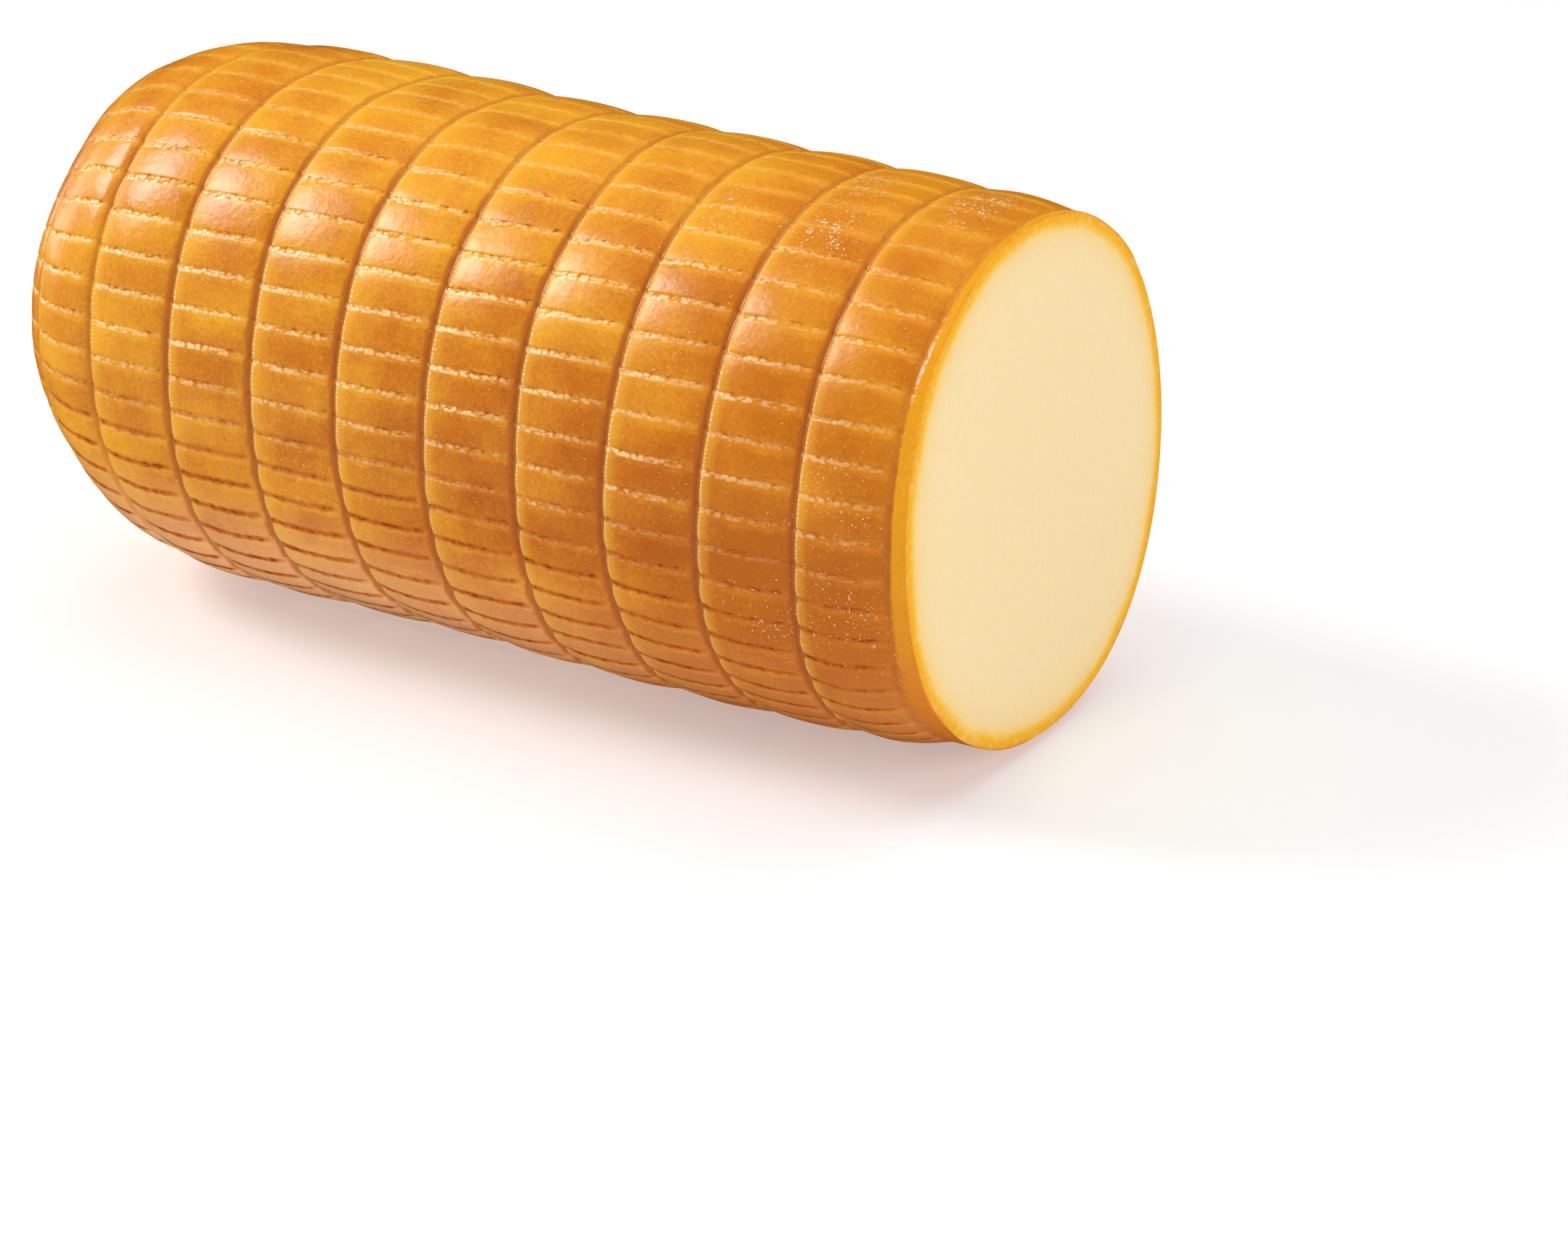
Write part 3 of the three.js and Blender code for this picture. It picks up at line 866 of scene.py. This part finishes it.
def smokedRind():
    material, tree = newMaterial("smokedRind")
    add = partial(addNode, tree)
    step = {"interpolation_type": "SMOOTHSTEP"}  # settings that come up often
    times, timesPlus = {"operation": "MULTIPLY"}, {"operation": "MULTIPLY_ADD"}
    plus, minus, unsigned = {"operation": "ADD"}, {"operation": "SUBTRACT"}, {"operation": "ABSOLUTE"}
    where = add("TexCoord", out="Object")
    net = add("UVMap", uv_map="netMm")
    netRound = add("SeparateXYZ", [net], out=1)
    along, across = add("SeparateXYZ", [add("UVMap", uv_map="brickMm")], out=slice(2))
    amount = {name: add("Attribute", out="Fac", attribute_name=name) for name in rindAmounts}

    # noise all over, by size and detail, and noise drawn out along the strings, by length and width
    noise = {}
    evenNoise = {"mottle": (rind["mottleSize"], 3.0), "grain": (rind["grainSize"], 2.0),
                 "speck": (saltAndGlints["size"], 1.0), "peel": (rind["peelSize"], 1.0)}
    for name, (grainMm, detail) in evenNoise.items():
        noise[name] = add("TexNoise", {"Vector": where, "Scale": perMetre(grainMm), "Detail": detail},
                          out="Fac")
    drawnNoise = {"tear": yarn["tearSize"], "break": yarn["breakSize"], "drift": cord["driftSize"]}
    for name, (lengthMm, widthMm) in drawnNoise.items():
        flat = add("VectorMath", [net, (1 / lengthMm, 1 / widthMm, 0)], **times)
        noise[name] = add("TexNoise", {"Vector": flat, "Scale": 1.0, "Detail": 2.0}, out="Fac")

    # height above the nearest string, and what the yarn tore there
    upper = add("Math", [across, strings["pitch"] / 2], operation="GREATER_THAN")
    height = add("Math", [upper, -strings["pitch"], across], **timesPlus)
    torn = add("Math", [noise["tear"], yarn["tear"], yarn["upperEdge"] - yarn["tear"] / 2], **timesPlus)
    overEdge = add("Math", [height, torn], **minus)
    wall = add("MapRange", [overEdge, -yarn["upperWall"], 0.0, 1.0, 0.0], **step)
    slope = add("MapRange", [height, *yarn["lowerWall"]], **step)
    mark = add("Math", [wall, slope], **times)
    broken = add("MapRange", [noise["break"], *yarn["breaks"], yarn["shallow"], 1.0], **step)
    crumbLength, crumbWidth = yarn["crumbSize"]
    crumbAt = add("VectorMath", [net, (1 / crumbLength, 1 / crumbWidth, 0)], **times)
    fromCrumb, crumbColour = add("TexVoronoi", {"Vector": crumbAt, "Scale": 1.0}, out=slice(2),
                                 voronoi_dimensions="2D")
    crumb = add("MapRange", [fromCrumb, *yarn["crumbEdge"], 1.0, 0.0], **step)
    picked = add("SeparateColor", [crumbColour])
    picked = add("MapRange", [picked, *yarn["crumbPick"]], **step)
    crumb = add("Math", [crumb, picked], **times)

    # tone: a brick is browner inside its golden edges, with mottling and grain
    uneven = add("Math", [noise["mottle"], 0.5], **minus)
    grainy = add("Math", [noise["grain"], 0.5], **minus)
    fromGold = add("Math", [add("Math", [height, rind["goldenAt"]], **plus)], **unsigned)
    inward = add("Math", [uneven, rind["ragged"], fromGold], **timesPlus)
    onward = add("Math", [uneven, rind["ragged"], along], **timesPlus)
    widest = add("MapRange", [amount["dry"], 0.0, 1.0, *rind["middleTo"]])
    deepest = add("MapRange", [amount["dry"], 0.0, 1.0, *rind["middleTone"]])
    lipNear, lipFar = [hoops["pitch"] - reach for reach in rind["middleLip"]]
    middle = add("MapRange", [inward, rind["middleFrom"], widest], **step)
    fromFront = add("MapRange", [onward, *rind["middleFront"]], **step)
    fromBack = add("MapRange", [onward, lipNear, lipFar, 0.0, 1.0])
    for share in (fromFront, fromBack):
        middle = add("Math", [middle, share], **times)
    tone = amount["browningAndShade"]
    for what, strength in ((middle, deepest), (amount["brickTone"], rind["brickTone"]),
                           (uneven, rind["mottle"]), (grainy, rind["grain"])):
        tone = add("Math", [what, strength, tone], **timesPlus)
    colour = add("ValToRGB", [tone], ramp=rind["tones"])

    # the lip over a hoop, and the cord's teeth along it with their painted highlight
    teeth = add("Math", [noise["drift"], cord["drift"] * fullTurn], **times)
    teeth = add("Math", [netRound, fullTurn / cord["pitch"], teeth], **timesPlus)
    teeth = add("Math", [teeth], operation="SINE")
    lipFrom, lipFull = [hoops["pitch"] - reach for reach in rind["lipReach"]]
    lip = add("MapRange", [along, lipFrom, lipFull, 0.0, rind["lip"]])
    fromLip = add("Math", [add("Math", [along, cord["place"]], **minus)], **unsigned)
    atLip = add("MapRange", [fromLip, 0.0, cord["halfWidth"], 1.0, 0.0], **step)
    toothGlint = add("MapRange", [teeth, -1.0, 1.0, *cord["pale"]])
    lit = add("MapRange", [amount["lowSide"], 0.0, 1.0, 1.0, cord["lowGain"]])
    offTop = add("MapRange", [amount["onTop"], 0.0, 1.0, 1.0, 1 - cord["topFade"]])

    # painted shade in a hoop's groove, from its soft side to the teeth under the lip
    narrowed = add("Math", [amount["onTop"], rind["hoopTop"], onward], **timesPlus)
    rolled = add("MapRange", [narrowed, *rind["hoopFront"], 1.0, 0.0], **step)
    toothedAlong = add("Math", [teeth, rind["hoopTeeth"], along], **timesPlus)
    lipAt, lipEnd = [hoops["pitch"] - reach for reach in rind["hoopLip"]]
    underLip = add("MapRange", [toothedAlong, lipAt, lipEnd], **step)
    paintedHoopShade = add("Math", [rolled, underLip], operation="MAXIMUM")

    # the yarn's dark dots, painted shade under its torn upper edge
    inPrint = add("MapRange", [amount["yarnDepth"], 0.0, min(strings["yarn"])])
    below = add("Math", [inPrint, amount["lowSide"]], **times)
    above = add("Math", [inPrint, below], **minus)
    fromLine = add("Math", [add("Math", [overEdge, yarn["lineAt"]], **plus)], **unsigned)
    line = add("MapRange", [fromLine, *yarn["lineEdge"], yarn["line"], 0.0], **step)
    offCrumb = add("MapRange", [fromCrumb, *yarn["lineGap"]], **step)
    fewer = add("MapRange", [along, *yarn["lineAlong"], 1.0, yarn["lineLeft"]])
    moist = add("MapRange", [amount["dry"], 0.0, 1.0, 1.0, 1 - yarn["lineDry"]])

    # its dashes and pits low down, painted shade
    fromDash = add("Math", [add("Math", [height, yarn["dashAt"]], **minus)], **unsigned)
    for what, reach in ((noise["tear"], yarn["tear"] / 2), (broken, -yarn["dashBreak"]),
                        (amount["paintedSheen"], -yarn["dashSheen"])):
        fromDash = add("Math", [what, reach, fromDash], **timesPlus)
    fromDash = add("Math", [fromDash, yarn["dashBreak"] / 2 - yarn["tear"] / 4], **plus)
    dash = add("MapRange", [fromDash, *yarn["dashEdge"], yarn["dash"], 0.0], **step)
    pit = add("MapRange", [fromDash, *yarn["pitEdge"], yarn["pit"], 0.0], **step)
    pitted = add("MapRange", [fromCrumb, *yarn["pitGap"], yarn["pitLeft"], 1.0], **step)

    # its pale crumbs, partly paler cheese and partly painted glints, and golden streaks on top
    fleck = add("MapRange", [height, *yarn["fleckLow"], 0.0, yarn["fleck"]], **step)
    underEdge = add("MapRange", [height, *yarn["fleckHigh"]], **step)
    fromTop = add("Math", [add("Math", [height, yarn["topAt"]], **minus)], **unsigned)
    topLine = add("MapRange", [fromTop, *yarn["topEdge"], yarn["topLine"], 0.0], **step)
    streaked = add("MapRange", [noise["tear"], *yarn["breaks"], yarn["topBreak"], 1.0])

    # grains of salt and painted glints, closer where it bloomed
    clumped = add("MapRange", [noise["peel"], *saltAndGlints["clump"], saltAndGlints["clumpLeast"], 1.0], **step)
    clumped = add("Math", [clumped, amount["saltBloomAndGlints"]], **times)
    limit = add("Math", [clumped, -saltAndGlints["bloomLimit"], saltAndGlints["limit"]], **timesPlus)
    overLimit = add("Math", [noise["speck"], limit], **minus)
    grains = add("MapRange", [overLimit, 0.0, saltAndGlints["edge"], 0.0, saltAndGlints["cover"]], **step)

    # all of these lie on the tone, from the first laid to the last: a colour, then shares that multiply
    marks = [(rind[name + "Colour"], amount[name], rind[name])
             for name in ("paintedSheen", "dry", "strip", "lowStrip")]
    marks += [
        (rind["lipColour"], lip),
        # painted highlight on the lip's teeth
        (cord["paleColour"], toothGlint, atLip, lit, amount["hoopShadeAndGlint"], offTop),
        # painted shade in the hoop's groove
        (rind["hoopShadeColour"], paintedHoopShade, rind["hoop"], amount["hoopShadeAndGlint"]),
        (yarn["topColour"], topLine, streaked, amount["onTop"], amount["flecks"]),
        # pale crumbs: paler cheese and painted glints
        (yarn["fleckGlintColour"], fleck, underEdge, crumb, amount["flecks"]),
        # painted shade under the yarn's upper edge
        (yarn["lineShadeColour"], line, broken, above, offCrumb, fewer, moist),
        # painted shade of the yarn's marks low down, with darker pits
        (yarn["dashShadeColour"], dash, below),
        (yarn["pitShadeColour"], pit, broken, below, pitted),
        # pale grains: salt and painted glints
        (saltAndGlints["colour"], grains),
    ]
    for markColour, cover, *shares in marks:
        for share in shares:
            cover = add("Math", [cover, share], **times)
        colour = add("Mix", {0: cover, 6: colour, 7: linear(markColour)}, out=2, data_type="RGBA")

    # relief finer than the mesh, in mm: marks of the yarn, teeth of the cord, salt, pores and dents
    stand = add("Math", [crumb, yarn["crumbHeight"]], **times)
    relief = add("Math", [stand, broken], **minus)
    for share in (mark, amount["yarnDepth"]):
        relief = add("Math", [relief, share], **times)
    toothed = add("Math", [teeth, atLip], **times)
    wavy = add("Math", [noise["tear"], amount["strip"]], **times)
    for what, heightMm in ((toothed, cord["depth"]), (grains, saltAndGlints["height"]),
                           (noise["grain"], rind["pores"]), (noise["peel"], rind["peel"]),
                           (noise["mottle"], rind["dents"]), (wavy, rind["stripWaves"])):
        relief = add("Math", [what, heightMm, relief], **timesPlus)
    bump = add("Bump", {"Height": relief, "Distance": mm, "Strength": 1.0})

    rough = rind["roughness"]
    for what, change in ((uneven, rind["roughMottle"]), (amount["dry"], rind["roughDry"]),
                         (amount["strip"], rind["roughStrip"])):
        rough = add("Math", [what, change, rough], **timesPlus)
    shader = add("BsdfPrincipled", {
        "Base Color": colour, "Roughness": rough, "IOR": rind["ior"],
        "Normal": bump, "Specular IOR Level": rind["specular"],
        "Subsurface Weight": rind["subsurface"], "Subsurface Radius": rind["scatter"],
        "Subsurface Scale": rind["scatterMm"] * mm})
    add("OutputMaterial", {"Surface": shader})
    return material


# Cut paste: stretched-curd cheese sliced with a knife. It gives a smooth, moist cream face that
# turns yellow and then amber in the last few mm below the rind.
paste = {
    "rimMm": 12.0,
    "wander": 1.6,  # mm that the yellow border wanders
    "tones": [(0.0, "#E2901A"), (0.03, "#F0A810"), (0.12, "#F4B414"), (0.17, "#F5C040"),
              (0.24, "#F5CF80"), (0.38, "#F4D69A"), (0.6, "#F5DAA4"), (1.0, "#F4DBA8")],
    "cloudSize": 9.0,
    "fibreSize": 1.2,
    "fibres": (0.5, 0.85),
    "fibreDepth": 0.05,
    "paleColour": "#FBEACB",
    "pale": 0.3,
    "roughness": 0.42,
    "ior": 1.45,
    "subsurface": 0.3,
    "scatter": (1.0, 0.7, 0.35),
    "scatterMm": 4.0,
}


def cutPaste():
    material, tree = newMaterial("cutPaste")
    add = partial(addNode, tree)
    where = add("TexCoord", out="Object")
    rimGap = add("Attribute", out="Fac", attribute_name="rimGap")
    cloud, fibre = [add("TexNoise", {"Vector": where, "Scale": perMetre(grainMm), "Detail": 3.0}, out="Fac")
                    for grainMm in (paste["cloudSize"], paste["fibreSize"])]
    uneven = add("Math", [cloud, paste["wander"], rimGap], operation="MULTIPLY_ADD")
    share = add("MapRange", [uneven, paste["wander"] / 2, paste["wander"] / 2 + paste["rimMm"]])
    colour = add("ValToRGB", [share], ramp=paste["tones"])
    pale = add("MapRange", [fibre, *paste["fibres"], 0.0, paste["pale"]])
    colour = add("Mix", {0: pale, 6: colour, 7: linear(paste["paleColour"])}, out=2, data_type="RGBA")
    bump = add("Bump", {"Height": fibre, "Distance": paste["fibreDepth"] * mm, "Strength": 1.0})
    shader = add("BsdfPrincipled", {
        "Base Color": colour, "Roughness": paste["roughness"], "IOR": paste["ior"],
        "Normal": bump, "Subsurface Weight": paste["subsurface"],
        "Subsurface Radius": paste["scatter"], "Subsurface Scale": paste["scatterMm"] * mm})
    add("OutputMaterial", {"Surface": shader})
    return material


loafMesh.materials.append(smokedRind())
loafMesh.materials.append(cutPaste())
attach(loafPiece, "root")
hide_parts("cheese_loaf")
print("loaf dressed")

# Studio: a pale table, a key light at the upper left with softer ones beside it, a fill on the right,
# two broad lights above and behind, and a white room
studio = {
    "tableSize": 6.0,
    "tableColour": "#DADADA",
    "tableRoughness": 0.7,
    "glowColour": "#FFFFFF",
    "tableGlow": 0.32,  # lit from below, so that shadows stay pale
    "roomStrength": 0.35,
    "lights": {  # place in m, size in m, watts, whether it shows as a highlight
        "keyLeft": ((-1.2, -0.42, 1.13), 0.6, 15.3, True),
        "sideLeft": ((-1.7, 0.05, 0.35), 0.7, 3.8, True),
        "frontLeft": ((-1.2, -1.2, 0.5), 0.8, 2.4, False),
        "fillRight": ((1.33, -0.2, 0.5), 0.9, 8.6, False),
        "overhead": ((0.0, 0.3, 2.6), 3.0, 10.0, False),
        "backTop": ((0.0, 1.2, 2.3), 3.0, 24.0, False),
    },
    "aim": (0.0, 0.0, 0.05),
}


def setTable():
    half = studio["tableSize"] / 2
    mesh = bpy.data.meshes.new("table")
    corners = [(-half, -half, 0), (half, -half, 0), (half, half, 0), (-half, half, 0)]
    mesh.from_pydata(corners, [], [(0, 1, 2, 3)])
    table = bpy.data.objects.new("table", mesh)
    bpy.context.scene.collection.objects.link(table)
    material, tree = newMaterial("paleTable")
    shader = addNode(tree, "BsdfPrincipled", {
        "Base Color": linear(studio["tableColour"]), "Roughness": studio["tableRoughness"],
        "Emission Color": linear(studio["glowColour"]), "Emission Strength": studio["tableGlow"]})
    addNode(tree, "OutputMaterial", {"Surface": shader})
    mesh.materials.append(material)
    # the table shows in no gloss; its reflection low down is painted into the rind's colour instead
    table.visible_glossy = False


def setLights():
    for name, (at, size, watts, glossy) in studio["lights"].items():
        lamp = bpy.data.lights.new(name, "AREA")
        lamp.size = size
        lamp.energy = watts
        piece = bpy.data.objects.new(name, lamp)
        piece.location = at
        piece.visible_glossy = glossy
        piece.rotation_euler = (Vector(studio["aim"]) - Vector(at)).to_track_quat("-Z", "Y").to_euler()
        bpy.context.scene.collection.objects.link(piece)
    world = bpy.data.worlds.new("whiteRoom")
    bpy.context.scene.world = world
    world.use_nodes = True
    background = world.node_tree.nodes["Background"]
    background.inputs["Color"].default_value = linear(studio["glowColour"])
    background.inputs["Strength"].default_value = studio["roomStrength"]
    world.cycles_visibility.glossy = False  # the room lights the loaf but doesn't show in its gloss
    bpy.context.scene.view_settings.view_transform = "Standard"


setTable()
setLights()

# Camera, as worked out from the hoops and outline of the log in the photograph
shot = {
    "pixelsWide": 2156,
    "focalPixels": 4125.9,
    "sensorMm": 36.0,
    "place": (208.95, -426.24, 235.87),  # mm, from the first hoop on the table
    "azimuth": math.radians(31.086),
    "elevation": math.radians(24.514),
    "clip": (0.01, 50.0),
}


def setCamera():
    lens = bpy.data.cameras.new("shot")
    lens.sensor_width = shot["sensorMm"]
    lens.lens = shot["sensorMm"] * shot["focalPixels"] / shot["pixelsWide"]
    lens.clip_start, lens.clip_end = shot["clip"]
    camera = bpy.data.objects.new("shot", lens)
    camera.location = (np.array(shot["place"]) + shift) * mm
    turn, rise = shot["azimuth"], shot["elevation"]
    back = Vector((math.sin(turn) * math.cos(rise), -math.cos(turn) * math.cos(rise), math.sin(rise)))
    camera.rotation_euler = (-back).to_track_quat("-Z", "Y").to_euler()
    bpy.context.scene.collection.objects.link(camera)
    bpy.context.scene.camera = camera


setCamera()
print("studio set")
